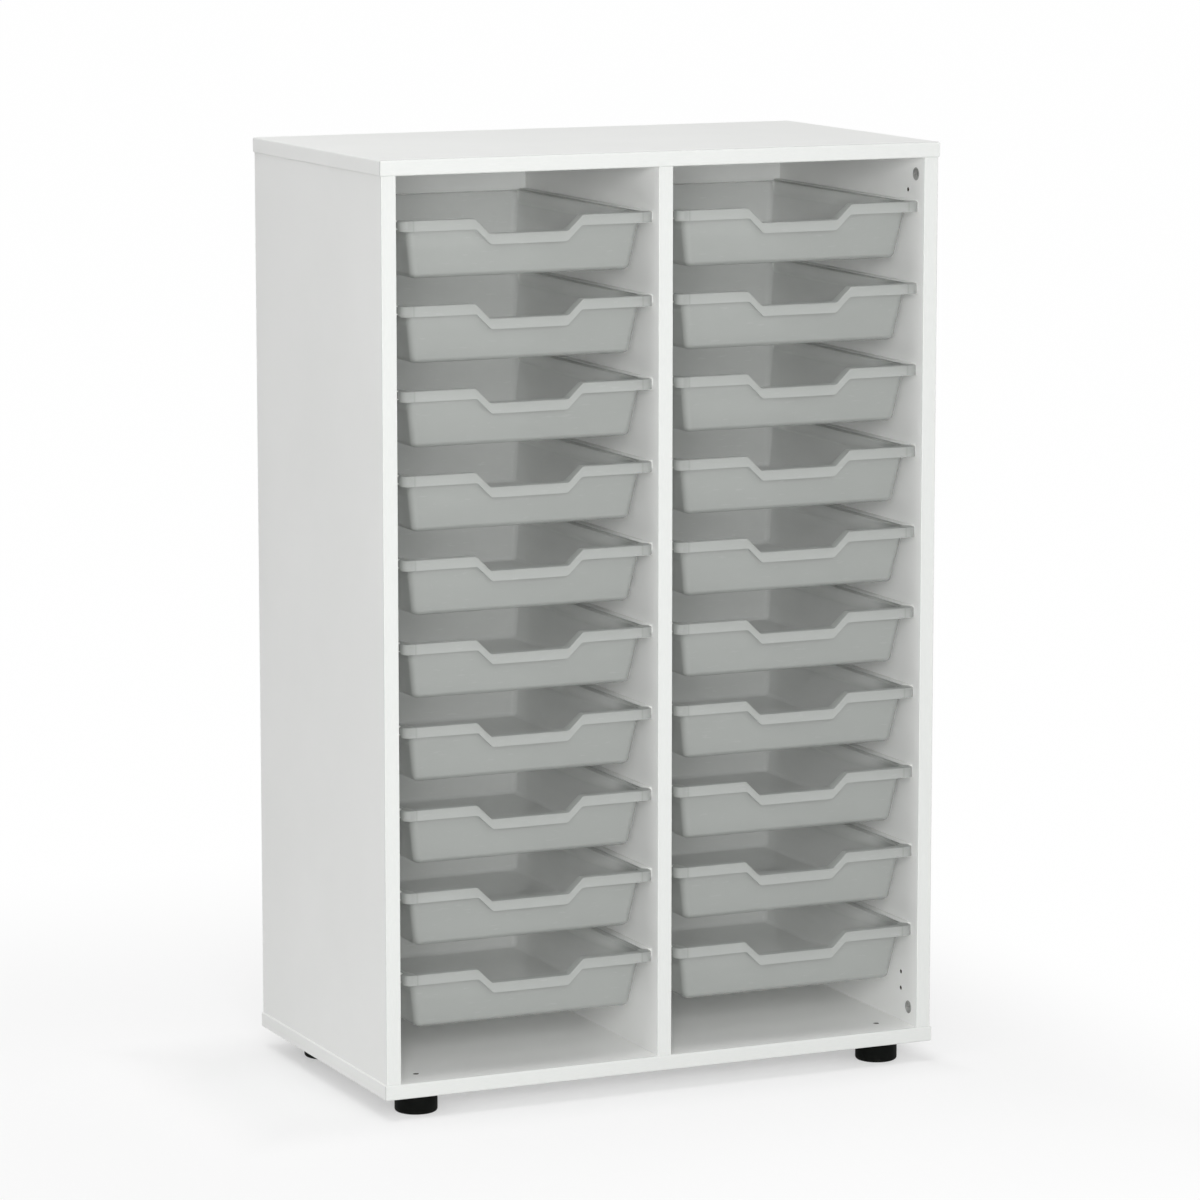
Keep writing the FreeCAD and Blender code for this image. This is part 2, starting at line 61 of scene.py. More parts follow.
# A wire is one socket in a shader; sums on wires add Math nodes
class Wire:
    def __init__(self, graph, socket):
        self.graph = graph
        self.socket = socket

    def maths(self, operation, *terms):
        return self.graph.add("ShaderNodeMath", {"operation": operation}, dict(enumerate(terms)))

    def __add__(self, other):
        return self.maths("ADD", self, other)

    def __radd__(self, other):
        return self.maths("ADD", other, self)

    def __sub__(self, other):
        return self.maths("SUBTRACT", self, other)

    def __rsub__(self, other):
        return self.maths("SUBTRACT", other, self)

    def __mul__(self, other):
        return self.maths("MULTIPLY", self, other)

    def __rmul__(self, other):
        return self.maths("MULTIPLY", other, self)

    def __abs__(self):
        return self.maths("ABSOLUTE", self)

    def lower(self, other):
        return self.maths("MINIMUM", self, other)

    def higher(self, other):
        return self.maths("MAXIMUM", self, other)

    # 0 up to start, 1 from end on, smooth between
    def ramp(self, start, end):
        values = {0: self, 1: start, 2: end, 3: 0.0, 4: 1.0}
        return self.graph.add("ShaderNodeMapRange", {"interpolation_type": "SMOOTHSTEP"}, values)


class Graph:
    def __init__(self, name, tree=None):
        if tree is None:
            self.material = bpy.data.materials.new(name)
            self.material.use_nodes = True
            tree = self.material.node_tree
        self.tree = tree
        self.tree.nodes.clear()

    # a node's type, its settings, then the values or wires of its sockets
    def add(self, kind, settings=None, inputs=None, out=0):
        made = self.tree.nodes.new(kind)
        for key, setting in (settings or {}).items():
            if key == "stops":
                stops = made.color_ramp.elements
                while len(stops) < len(setting):
                    stops.new(1.0)
                for stop, (place, colour) in zip(stops, setting):
                    stop.position = place
                    stop.color = colour
            else:
                setattr(made, key, setting)
        for key, given in (inputs or {}).items():
            if isinstance(given, Wire):
                self.tree.links.new(given.socket, made.inputs[key])
            else:
                made.inputs[key].default_value = given
        return Wire(self, made.outputs[out]) if len(made.outputs) else None

    def place(self):
        return self.add("ShaderNodeTexCoord", out="Object")

    def axes(self, place):
        parts = self.add("ShaderNodeSeparateXYZ", None, {0: place}).socket.node.outputs
        return [Wire(self, part) for part in parts]

    def mix(self, factor, first, second):
        values = {0: factor, 6: first, 7: second}
        return self.add("ShaderNodeMix", {"data_type": "RGBA"}, values, 2)

    def noise(self, place, scale, detail=2.0, stretch=None):
        if stretch:
            place = self.add("ShaderNodeMapping", None, {"Vector": place, "Scale": stretch})
        values = {"Vector": place, "Scale": scale, "Detail": detail}
        return self.add("ShaderNodeTexNoise", None, values)

    def cells(self, place, scale):
        return self.add("ShaderNodeTexVoronoi", None, {"Vector": place, "Scale": scale}, "Color")

    def bump(self, height, distance):
        values = {"Height": height, "Distance": distance, "Strength": 1.0}
        return self.add("ShaderNodeBump", None, values)

    def finish(self, inputs):
        shader = self.add("ShaderNodeBsdfPrincipled", None, inputs)
        self.add("ShaderNodeOutputMaterial", None, {"Surface": shader})
        return self.material


def shade(red, green, blue):
    return (red, green, blue, 1.0)


def coat(piece, material):
    for slot in piece.material_slots:
        slot.material = material


# A bmesh in millimetres becomes a named piece in metres that rides on a body
def makePiece(name, shape, material, body, smoothTo=35):
    bmesh.ops.scale(shape, vec=(mm, mm, mm), verts=shape.verts)
    mesh = bpy.data.meshes.new(name)
    shape.to_mesh(mesh)
    shape.free()
    for face in mesh.polygons:
        face.use_smooth = True
    mesh.set_sharp_from_angle(angle=math.radians(smoothTo))
    mesh.materials.append(material)
    piece = bpy.data.objects.new(name, mesh)
    bpy.context.scene.collection.objects.link(piece)
    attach(piece, body)
    return piece


def addModifier(piece, kind, **settings):
    modifier = piece.modifiers.new(kind.title(), kind)
    for key, setting in settings.items():
        setattr(modifier, key, setting)
    return modifier


def bevel(shape, parts, offset, segments, affect="EDGES"):
    bmesh.ops.bevel(
        shape, geom=parts, offset=offset, segments=segments,
        profile=0.5, affect=affect, material=-1,
    )


def centreOf(low, high):
    return (low.x + high.x) / 2 / mm, (low.y + high.y) / 2 / mm


def moveAll(shape, offset):
    bmesh.ops.translate(shape, vec=offset, verts=shape.verts)


# New faces along some edges: gives their new vertices and edges
def grow(shape, edges):
    made = bmesh.ops.extrude_edge_only(shape, edges=edges)["geom"]
    verts = [item for item in made if isinstance(item, bmesh.types.BMVert)]
    ringEdges = [item for item in made if isinstance(item, bmesh.types.BMEdge)]
    return verts, ringEdges


# Adds a finished bmesh to another one and frees it
def addPart(shape, part):
    mesh = bpy.data.meshes.new("part")
    part.to_mesh(mesh)
    part.free()
    shape.from_mesh(mesh)
    bpy.data.meshes.remove(mesh)


# Boards: melamine faces, plastic edging and a chipboard core in every hole
boardLook = {
    "face": shade(0.895, 0.90, 0.887),
    # the back panel's face, painted greyer than the other boards as shade inside the cabinet
    "shadedBackFace": shade(0.83, 0.845, 0.83),
    "roughness": 0.58,
    "gloss": 0.15,
    # a soft cloud, fine specks and a pearled surface; sizes are in bumps a metre
    "cloud": {"size": 5, "tone": shade(0.85, 0.858, 0.842), "share": 0.5, "rough": 0.10},
    "specks": {"size": 240, "tone": shade(0.72, 0.73, 0.71), "share": 0.10},
    "pearl": {"size": 1100, "height": 0.012 * mm, "rough": 0.08},
    # the plastic edging, brushed along its length, and the joint beside it
    "edging": {
        # the edging's greenish white is painted darker than the faces, as shade against the strong
        # front light
        "tone": shade(0.640, 0.653, 0.638),
        "brushed": shade(0.70, 0.71, 0.695),
        "size": 90,
        "squeeze": 14,
        "share": 0.35,
        "rough": 0.15,
        "softness": 0.05 * mm,
    },
    "joint": {"tone": shade(0.50, 0.50, 0.48), "width": 0.22 * mm, "share": 0.45, "depth": 3},
    # the core shows where a hole cuts through the foil or the laminate; its chips and glue are
    # painted near black, as shade deep in the holes
    "foil": 0.12 * mm,
    "laminate": 0.75 * mm,
    "holesFrom": (4 * mm, 5 * mm),  # inside the four narrow sides
    "core": {
        "chipsInShade": [
            (0.0, shade(0.012, 0.009, 0.006)),
            (0.5, shade(0.034, 0.025, 0.016)),
            (1.0, shade(0.07, 0.052, 0.034)),
        ],
        "chipSize": 330,
        "glueInShade": shade(0.03, 0.022, 0.013),
        "glueShare": 0.95,
        "flakeSize": 420,
        "flakeShare": 0.35,
        "crumbSize": 500,
        "crumbHeight": 12,
        "rough": 0.3,
    },
}


# How far a point lies inside each of a board's six sides
def boardDepths(graph, place, low, high):
    x, y, z = graph.axes(place)
    return {
        "left": x - low.x, "right": high.x - x,
        "front": y - low.y, "rear": high.y - y,
        "below": z - low.z, "above": high.z - z,
    }


# 1 on the core: the wall of a hole lies off both faces and well inside the narrow sides
def coreMask(depths, thin):
    pairs = [("left", "right"), ("front", "rear"), ("below", "above")]
    nearest = [depths[one].lower(depths[other]) for one, other in pairs]
    facing = nearest.pop(thin)
    around = nearest[0].lower(nearest[1])
    foil = boardLook["foil"]
    laminate = boardLook["laminate"]
    holes = facing.ramp(foil, foil * 1.5) * around.ramp(*boardLook["holesFrom"])
    return facing.lower(around).ramp(laminate, laminate * 1.4).higher(holes)


# chipboard tone painted near black: the core's own chips and glue, darkened as shade in the holes
def coreToneInShade(graph, place):
    core = boardLook["core"]
    flakes = graph.cells(place, core["flakeSize"])
    grain = graph.noise(place, core["chipSize"], 4)
    chipsInShade = graph.add("ShaderNodeValToRGB", {"stops": core["chipsInShade"]}, {0: grain})
    glued = graph.mix(core["glueShare"], flakes, core["glueInShade"])
    return graph.mix(core["flakeShare"], chipsInShade, glued)


def boardFinish(name, low, high, face, edged, edging):
    look = boardLook
    graph = Graph(name)
    place = graph.place()
    depths = boardDepths(graph, place, low, high)
    size = high - low
    thin = min(range(3), key=lambda way: size[way])
    cut = coreMask(depths, thin)
    cloud = graph.noise(place, look["cloud"]["size"], 3)
    speck = graph.noise(place, look["specks"]["size"], 2)
    pearl = graph.noise(place, look["pearl"]["size"], 2)
    clouded = cloud.ramp(0.3, 0.7) * look["cloud"]["share"]
    specked = speck.ramp(0.66, 0.8) * look["specks"]["share"]
    tone = graph.mix(clouded, look[face], look["cloud"]["tone"])
    tone = graph.mix(specked, tone, look["specks"]["tone"])
    rough = look["roughness"] + look["cloud"]["rough"] * cloud
    rough = rough + look["pearl"]["rough"] * (pearl - 0.5)
    height = pearl
    if edged:
        rim = depths[edged]
        edge = look["edging"]
        joint = look["joint"]
        band = 1 - rim.ramp(edging - edge["softness"], edging + edge["softness"])
        seam = 1 - abs(rim - edging).ramp(joint["width"] * 0.4, joint["width"])
        # the brush marks run along the band: level on level boards, upright on the others
        squeeze = edge["squeeze"]
        squeezed = (1, 1, squeeze) if thin == 2 else (squeeze, squeeze, 1)
        brushed = graph.noise(place, edge["size"], 3, squeezed)
        streaks = brushed.ramp(0.35, 0.7) * edge["share"]
        tone = graph.mix(band, tone, graph.mix(streaks, edge["tone"], edge["brushed"]))
        tone = graph.mix(seam * joint["share"], tone, joint["tone"])
        rough = rough + band * (brushed - 0.5) * edge["rough"]
        height = pearl - seam * joint["depth"]
    tone = graph.mix(cut, tone, coreToneInShade(graph, place))
    crumbs = graph.noise(place, look["core"]["crumbSize"], 4)
    relief = height + cut * crumbs * look["core"]["crumbHeight"]
    return graph.finish({
        "Base Color": tone,
        "Roughness": rough + cut * look["core"]["rough"],
        "Specular IOR Level": look["gloss"],
        "Normal": graph.bump(relief, look["pearl"]["height"]),
    })


# each board's face, the side that has edging, and how thick the edging is
boards = {
    "top_panel": ("face", "front", 2 * mm),
    "base_panel": ("face", "front", 2 * mm),
    "side_panel_left": ("face", "front", 1 * mm),
    "side_panel_right": ("face", "front", 1 * mm),
    "centre_divider": ("face", "front", 1 * mm),
    # the back panel takes the face painted grey as shade
    "back_panel": ("shadedBackFace", None, 0),
}
for name, settings in boards.items():
    low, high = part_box(name)
    coat(nodes[name], boardFinish(name + "Board", low, high, *settings))
print("boards finished")

# Fittings held inside the boards: cast cams, plated bolts and nuts, beech dowels
fittingLook = {
    "castZinc": {
        "bright": shade(0.52, 0.52, 0.51),
        "dark": shade(0.34, 0.34, 0.33),
        "grain": 1500,
        "roughness": 0.45,
        "metallic": 0.55,
    },
    "platedSteel": {
        "bright": shade(0.60, 0.59, 0.57),
        "dark": shade(0.40, 0.38, 0.33),
        "grain": 2600,
        "roughness": 0.27,
        "metallic": 0.9,
    },
    "metalStain": 140,
    "metalRelief": 0.03 * mm,
    "beech": [
        (0.0, shade(0.40, 0.23, 0.11)),
        (0.55, shade(0.60, 0.39, 0.21)),
        (1.0, shade(0.70, 0.49, 0.29)),
    ],
    "beechFleck": shade(0.33, 0.19, 0.09),
    "beechFibres": 260,
    "beechFlecks": 900,
    "beechRoughness": 0.55,
    "beechRelief": 0.05 * mm,
}


def metalFinish(name):
    look = fittingLook[name]
    graph = Graph(name)
    place = graph.place()
    cast = graph.noise(place, look["grain"], 4)
    stain = graph.noise(place, fittingLook["metalStain"], 3)
    return graph.finish({
        "Base Color": graph.mix(stain.ramp(0.35, 0.75), look["bright"], look["dark"]),
        "Metallic": look["metallic"],
        "Roughness": look["roughness"] + 0.25 * (cast - 0.5) + 0.1 * stain,
        "Normal": graph.bump(cast, fittingLook["metalRelief"]),
    })


def woodFinish(name):
    look = fittingLook
    graph = Graph(name)
    place = graph.place()
    fibres = graph.noise(place, look["beechFibres"], 4, (1, 1, 0.06))
    fleck = graph.noise(place, look["beechFlecks"], 2, (1, 1, 0.15))
    tone = graph.add("ShaderNodeValToRGB", {"stops": look["beech"]}, {0: fibres})
    tone = graph.mix(fleck.ramp(0.62, 0.72) * 0.5, tone, look["beechFleck"])
    return graph.finish({
        "Base Color": tone,
        "Roughness": look["beechRoughness"] + 0.2 * fibres,
        "Normal": graph.bump(fibres, look["beechRelief"]),
    })


zinc = metalFinish("castZinc")
steel = metalFinish("platedSteel")
coat(nodes["cam_bolts"], steel)
coat(nodes["foot_nuts"], steel)
coat(nodes["divider_dowels"], woodFinish("beechDowel"))

camShape = {
    "boreRadius": 7.5,
    "boreDepth": 12.5,
    "turn": 20,  # degrees, as the driver left it
    "discRadius": 7.45,
    "depth": 12.4,
    "rimRadius": 7.7,
    "rimProud": 0.2,
    "rimSlope": 0.2,
    "rimInner": 6.65,
    "ring": 1.0,
    "faceSunk": 0.5,
    "crossReach": 4.6,
    "crossWaist": 1.3,
    "crossDepth": 1.6,
}


# A disc with its face at z = 0 looking up: a ring, a sunk face and a driver's recess
# in it, with four points at reach and a waist between them
def addRecessedDisc(shape, radius, depth, ring, sunk, reach, waist, recess, sides=32):
    verts = bmesh.ops.create_cone(
        shape, cap_ends=True, segments=sides, radius1=radius, radius2=radius, depth=depth,
    )["verts"]
    bmesh.ops.translate(shape, vec=(0, 0, -depth / 2), verts=verts)
    flat = [face for face in shape.faces if face.normal.z > 0.9]
    top = [face for face in flat if abs(face.calc_center_median().z) < 1e-4][-1]
    bmesh.ops.inset_region(shape, faces=[top], thickness=ring, use_even_offset=True)
    bmesh.ops.inset_region(shape, faces=[top], thickness=sunk, depth=-sunk, use_even_offset=True)
    bmesh.ops.inset_region(shape, faces=[top], thickness=0.3, use_even_offset=True)
    quarter = sides // 4
    middle = top.calc_center_median()
    rim = sorted(top.verts, key=lambda v: math.atan2(v.co.y, v.co.x) % math.tau)
    for index, vert in enumerate(rim):
        away = (vert.co - middle).normalized()
        onPoint = index % quarter in (0, 1, quarter - 1)
        vert.co = middle + away * (reach if onPoint else waist)
    bmesh.ops.inset_region(shape, faces=[top], thickness=0.15, depth=-recess, use_even_offset=True)


# One cam with its raised rim, its face looking up
def makeCam():
    c = camShape
    one = bmesh.new()
    addRecessedDisc(
        one, c["discRadius"], c["depth"], c["ring"], c["faceSunk"],
        c["crossReach"], c["crossWaist"], c["crossDepth"],
    )
    rim = bmesh.ops.create_cone(
        one, cap_ends=False, segments=32, radius1=c["rimRadius"],
        radius2=c["rimRadius"] - c["rimSlope"], depth=c["rimProud"],
    )["verts"]
    ends = [e for e in one.edges if e.is_boundary and all(v in rim for v in e.verts)]
    upper = [e for e in ends if e.verts[0].co.z > 0]
    inner, _ = grow(one, upper)
    for vert in inner:
        vert.co.xy = vert.co.xy.normalized() * c["rimInner"]
    bmesh.ops.translate(one, vec=(0, 0, c["rimProud"] / 2), verts=rim + inner)
    return one


def makeCams():
    low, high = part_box("cam_locks")
    radius = camShape["boreRadius"]
    wall = high.x / mm - camShape["boreDepth"]
    spin = Matrix.Rotation(math.radians(camShape["turn"]), 4, "Z")
    shape = bmesh.new()
    for side in (-1, 1):
        turn = Matrix.Rotation(math.radians(-90 * side), 4, "Y") @ spin
        for y in (low.y / mm + radius, high.y / mm - radius):
            for z in (low.z / mm + radius, high.z / mm - radius):
                one = makeCam()
                place = Matrix.Translation((side * wall, y, z))
                bmesh.ops.transform(one, matrix=place @ turn, verts=one.verts)
                bmesh.ops.recalc_face_normals(one, faces=one.faces)
                addPart(shape, one)
    cams = makePiece("camDiscs", shape, zinc, "carcass")
    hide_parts("cam_locks")


makeCams()
print("fittings finished")

# Feet: a turned pad with a rounded sole, on a threaded spindle
footShape = {
    "soleRadius": 3.2,
    "soleSteps": 6,
    "topRadius": 0.8,
    "recessRadius": 17,
    "recessDepth": 0.8,
    "turns": 64,
    "threadPitch": 1.5,
    "threadDepth": 0.75,
    "threadSteps": 20,
    "threadHalfRoot": 0.42,  # of the pitch
    "threadHalfCrest": 0.06,
    "slotReach": 2.5,
    "slotDepth": 1.8,
}
footLook = {
    "plastic": shade(0.0040, 0.0045, 0.0040),
    "roughness": 0.62,
    "gloss": 0.06,
    "grain": 1700,
    "relief": 0.04 * mm,
    "dust": shade(0.05, 0.048, 0.042),
    "dustUpTo": 7 * mm,
    "dustShare": 0.25,
    "wear": 60,
}


def footFinish():
    look = footLook
    graph = Graph("footPlastic")
    place = graph.place()
    z = graph.axes(place)[2]
    grain = graph.noise(place, look["grain"], 3)
    wear = graph.noise(place, look["wear"], 4)
    dust = (1 - z.ramp(0, look["dustUpTo"])) * wear.ramp(0.4, 0.75)
    return graph.finish({
        "Base Color": graph.mix(dust * look["dustShare"], look["plastic"], look["dust"]),
        "Roughness": look["roughness"] + 0.18 * (grain - 0.5) + dust * 0.2,
        "Specular IOR Level": look["gloss"],
        "Normal": graph.bump(grain, look["relief"]),
    })


def spinProfile(shape, points, steps):
    verts = [shape.verts.new(point) for point in points]
    edges = [shape.edges.new(pair) for pair in zip(verts, verts[1:])]
    bmesh.ops.spin(
        shape, geom=verts + edges, cent=(0, 0, 0), axis=(0, 0, 1),
        angle=math.tau, steps=steps, use_merge=True,
    )
    bmesh.ops.remove_doubles(shape, verts=shape.verts, dist=1e-4)
    bmesh.ops.recalc_face_normals(shape, faces=shape.faces)


def makeFoot(name, material):
    low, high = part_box(name)
    radius = (high.x - low.x) / 2 / mm
    top = high.z / mm
    f = footShape
    points = [
        (0, 0, f["recessDepth"]), (f["recessRadius"] - 1, 0, f["recessDepth"]),
        (f["recessRadius"], 0, 0),
    ]
    for step in range(f["soleSteps"] + 1):
        angle = math.radians(90 / f["soleSteps"] * step)
        inward = f["soleRadius"] * (1 - math.sin(angle))
        points.append((radius - inward, 0, f["soleRadius"] * (1 - math.cos(angle))))
    edge = f["topRadius"]
    points += [
        (radius, 0, top - edge), (radius - edge * 0.3, 0, top - edge * 0.3),
        (radius - edge, 0, top), (0, 0, top),
    ]
    shape = bmesh.new()
    spinProfile(shape, points, f["turns"])
    moveAll(shape, (*centreOf(low, high), 0))
    pad = makePiece(name + "_pad", shape, material, name)
    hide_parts(name)


# The core stands inside a right-hand helix; both are closed shells
def makeSpindle(name, material):
    low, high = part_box(name)
    radius = (high.x - low.x) / 2 / mm
    length = (high.z - low.z) / mm
    f = footShape
    shape = bmesh.new()
    core = radius - f["threadDepth"]
    reach = f["slotReach"]
    addRecessedDisc(shape, core, length, 0.4, 0.1, reach, reach, f["slotDepth"], 24)
    moveAll(shape, (0, 0, length))
    pitch = f["threadPitch"]
    wide = pitch * f["threadHalfRoot"]
    narrow = pitch * f["threadHalfCrest"]
    root = core - 0.1     # the thread's root lies just inside the core
    tip = radius - 0.02   # and its crest just inside the solid's outline
    tooth = [(root, 0, -wide), (tip, 0, -narrow), (tip, 0, narrow), (root, 0, wide)]
    lift = Vector((0, 0, pitch / 2))
    first = shape.faces.new([shape.verts.new(Vector(point) + lift) for point in tooth])
    turns = int((length - pitch) / pitch)
    bmesh.ops.spin(
        shape, geom=[first], cent=(0, 0, 0), axis=(0, 0, 1),
        dvec=(0, 0, pitch / f["threadSteps"]), angle=math.tau * turns,
        steps=turns * f["threadSteps"], use_merge=False,
    )
    bmesh.ops.recalc_face_normals(shape, faces=shape.faces)
    moveAll(shape, (*centreOf(low, high), low.z / mm))
    spindle = makePiece(name + "_thread", shape, material, name)
    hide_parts(name)


footPlastic = footFinish()
for depth in ("front", "rear"):
    for side in ("left", "right"):
        makeFoot(f"foot_{depth}_{side}", footPlastic)
        makeSpindle(f"foot_spindle_{depth}_{side}", steel)
print("feet finished")

# Trays: one sheet grown from the rim's outline, then thickened
trayShape = {
    "wall": 2.0,
    "draft": 9.3,  # degrees
    "rimWidth": 10.0,
    "rimRadius": 9.0,
    "rearRadius": 3.0,
    "lipDrop": 12.0,
    "skirtDrop": 9.0,
    "lipEnd": 12.8,
    "stepFrom": 14.0,
    "stepTo": 15.0,
    "lowered": 2.0,
    "dipTop": 133.0,
    "dipBottom": 96.6,
    "dipDepth": 17.6,
    "dipLean": 1.3,
    "dipRound": 1.6,
    "tubRadius": 7.0,
    "floorRadius": 4.5,
    "edgeRound": 0.9,
    "sheetRound": 0.35,
    "sheetRoundFrom": 55,  # degrees between two faces
    "smoothTo": 50,
}
trayLook = {
    # one frosted plastic in lit and shaded tones: body and cloudy are its pale tone raised as
    # painted light inside the bays; the front body and lip are painted darker as shade against the
    # front light
    "body": shade(0.85, 0.87, 0.85),
    "cloudy": shade(0.88, 0.895, 0.88),
    "shadedFrontBody": shade(0.425, 0.443, 0.425),
    "lip": shade(0.47, 0.487, 0.47),
    # the lip's rounded ends, painted darker as shade where the corners turn away from the light
    "lipEnd": shade(0.38, 0.395, 0.38),
    "opacity": 0.32,
    "frontOpacity": 0.52,
    "rimOpacity": 0.62,
    # from the tray's front edge
    "lipReach": 6 * mm,
    "lipFade": 9 * mm,
    "frontReach": 26 * mm,
    "frontFade": 90 * mm,
    "opacityFade": 170 * mm,
    # from the tray's middle, across
    "rimFrom": 139 * mm,
    "rimFade": 143 * mm,
    "roughness": 0.38,
    "flow": {"size": 9, "rough": 0.08, "opacity": 0.06},
    "grain": {"size": 1900, "rough": 0.14, "height": 0.03 * mm},
    "scratches": {
        "size": 55,
        "tone": shade(0.80, 0.81, 0.80),
        "share": 0.03,
        "rough": 0.12,
        "opacity": 0.02,
    },
}


def trayFinish():
    look = trayLook
    graph = Graph("frostedTray")
    place = graph.place()
    x, y, _ = graph.axes(place)
    flow = graph.noise(place, look["flow"]["size"], 3, (1, 0.4, 2))
    grain = graph.noise(place, look["grain"]["size"], 2)
    scratches = graph.noise(place, look["scratches"]["size"], 5, (1, 7, 7)).ramp(0.64, 0.70)
    # the two columns are mirrored, so one tray's box serves for all
    low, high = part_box("tray_right_01")
    aside = abs(abs(x) - (low.x + high.x) / 2)
    behind = y - low.y
    rim = aside.ramp(look["rimFrom"], look["rimFade"])
    front = 1 - behind.ramp(look["frontReach"], look["frontFade"])
    lip = 1 - behind.ramp(look["lipReach"], look["lipFade"])
    tone = graph.mix(flow.ramp(0.3, 0.7), look["body"], look["cloudy"])
    # the front and lip take the darker tones painted as shade
    tone = graph.mix(front, tone, look["shadedFrontBody"])
    tone = graph.mix(lip, tone, look["lip"])
    # painted shade on the lip's rounded ends
    tone = graph.mix(lip * rim, tone, look["lipEnd"])
    tone = graph.mix(scratches * look["scratches"]["share"], tone, look["scratches"]["tone"])
    rough = look["roughness"] + look["grain"]["rough"] * (grain - 0.5)
    rough = rough + look["scratches"]["rough"] * scratches + look["flow"]["rough"] * flow
    fade = behind.ramp(look["frontReach"], look["opacityFade"])
    solid = look["frontOpacity"] + (look["opacity"] - look["frontOpacity"]) * fade
    solid = solid.higher(rim * look["rimOpacity"])
    solid = solid + look["flow"]["opacity"] * (flow - 0.5)
    return graph.finish({
        "Base Color": tone,
        "Roughness": rough,
        "Alpha": solid + look["scratches"]["opacity"] * scratches,
        "Normal": graph.bump(grain, look["grain"]["height"]),
    })


# Where a point of one rounded rectangle lands on another: corner to corner, side to side
def fitLoop(point, old, new):
    half, front, rear, frontRadius, rearRadius = old
    newHalf, newFront, newRear, newFrontRadius, newRearRadius = new
    side = math.copysign(1, point.x)
    oldLength = rear - rearRadius - front - frontRadius
    length = (newRear - newRearRadius - newFront - newFrontRadius) / oldLength
    across = abs(point.x)
    # the front corners and side, then the rear ones
    for edge, radius, newEdge, newRadius, way in (
        (front, frontRadius, newFront, newFrontRadius, 1),
        (rear, rearRadius, newRear, newRearRadius, -1),
    ):
        centre = (half - radius, edge + way * radius)
        if across >= centre[0] - 1e-3 and (point.y - centre[1]) * way <= 1e-3:
            share = newRadius / radius
            newX = newHalf - newRadius + (across - centre[0]) * share
            newY = newEdge + way * newRadius + (point.y - centre[1]) * share
            return side * newX, newY
        if abs(point.y - edge) < 1e-3:
            return point.x, newEdge
    newY = newFront + newFrontRadius + (point.y - front - frontRadius) * length
    return side * newHalf, newY


def trayShell(width, depth, height):
    t = trayShape
    half = width / 2
    lean = math.tan(math.radians(t["draft"]))
    top = t["dipTop"] / 2
    low = t["dipBottom"] / 2
    behind = -t["lowered"]
    rightHalf = [
        (low, 0, -t["dipDepth"]), (top, 0, 0), (half, 0, 0), (half, t["lipEnd"], 0),
        (half, t["stepFrom"], 0), (half, t["stepTo"], behind), (half, depth, behind),
    ]
    leftHalf = [(-x, y, z) for x, y, z in reversed(rightHalf)]
    shape = bmesh.new()
    verts = [shape.verts.new(point) for point in rightHalf + leftHalf]
    for one, other in zip(verts, verts[1:] + verts[:1]):
        shape.edges.new((one, other))
    bevel(shape, [verts[2], verts[-3]], t["rimRadius"], 7, "VERTICES")
    rear = [v for v in shape.verts if abs(v.co.y - depth) < 1e-4]
    bevel(shape, rear, t["rearRadius"], 3, "VERTICES")
    dip = [v for v in shape.verts if v.co.y < 1e-4 and abs(v.co.x) < top + 1]
    bevel(shape, dip, t["dipRound"], 3, "VERTICES")
    outer = list(shape.edges)

    # the lip in front and the skirts along both sides
    skirted = [e for e in outer if max(v.co.y for v in e.verts) < depth - t["rearRadius"] + 1e-3]
    verts, _ = grow(shape, skirted)
    for vert in verts:
        if vert.co.y < t["lipEnd"] - 1e-3:
            if abs(vert.co.x) < top + 2:
                vert.co.x -= math.copysign(t["dipLean"], vert.co.x)
            vert.co.z -= t["lipDrop"]
        else:
            vert.co.z = -t["skirtDrop"]

    # in over the rim, down the walls and across the floor
    def tub(z):
        inset = t["rimWidth"] + t["wall"] - z * lean
        return half - inset, inset, depth - inset, t["tubRadius"], t["tubRadius"]

    rimOuter = (half, 0, depth, t["rimRadius"], t["rearRadius"])
    verts, rimInner = grow(shape, outer)
    for vert in verts:
        vert.co.xy = fitLoop(vert.co, rimOuter, tub(vert.co.z))
    floor = t["wall"] - height
    verts, bottom = grow(shape, rimInner)
    for vert in verts:
        vert.co.xy = fitLoop(vert.co, tub(vert.co.z), tub(floor))
        vert.co.z = floor
    base = bmesh.ops.contextual_create(shape, geom=bottom)["faces"]
    bmesh.ops.recalc_face_normals(shape, faces=shape.faces)
    if base[0].normal.z < 0:
        bmesh.ops.reverse_faces(shape, faces=shape.faces)
    bevel(shape, bottom, t["floorRadius"], 5)
    bevel(shape, [e for e in rimInner if e.is_valid], t["edgeRound"], 2)
    bevel(shape, [e for e in skirted if e.is_valid], t["edgeRound"], 2)
    return shape


def makeTray(name, material):
    low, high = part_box(name)
    width, depth, height = (high - low) / mm
    shape = trayShell(width, depth, height)
    moveAll(shape, (centreOf(low, high)[0], low.y / mm, high.z / mm))
    smoothTo = trayShape["smoothTo"]
    tray = makePiece(name + "_shell", shape, material, name, smoothTo)
    addModifier(
        tray, "SOLIDIFY", thickness=trayShape["wall"] * mm, offset=-1,
        use_even_offset=True, use_quality_normals=True,
    )
    addModifier(
        tray, "BEVEL", width=trayShape["sheetRound"] * mm, segments=2,
        limit_method="ANGLE", angle_limit=math.radians(trayShape["sheetRoundFrom"]),
    )
    addModifier(tray, "WEIGHTED_NORMAL", keep_sharp=True)
    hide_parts(name)


frosted = trayFinish()
for name in sorted(nodes):
    if name.startswith("tray_"):
        makeTray(name, frosted)
print("trays finished")

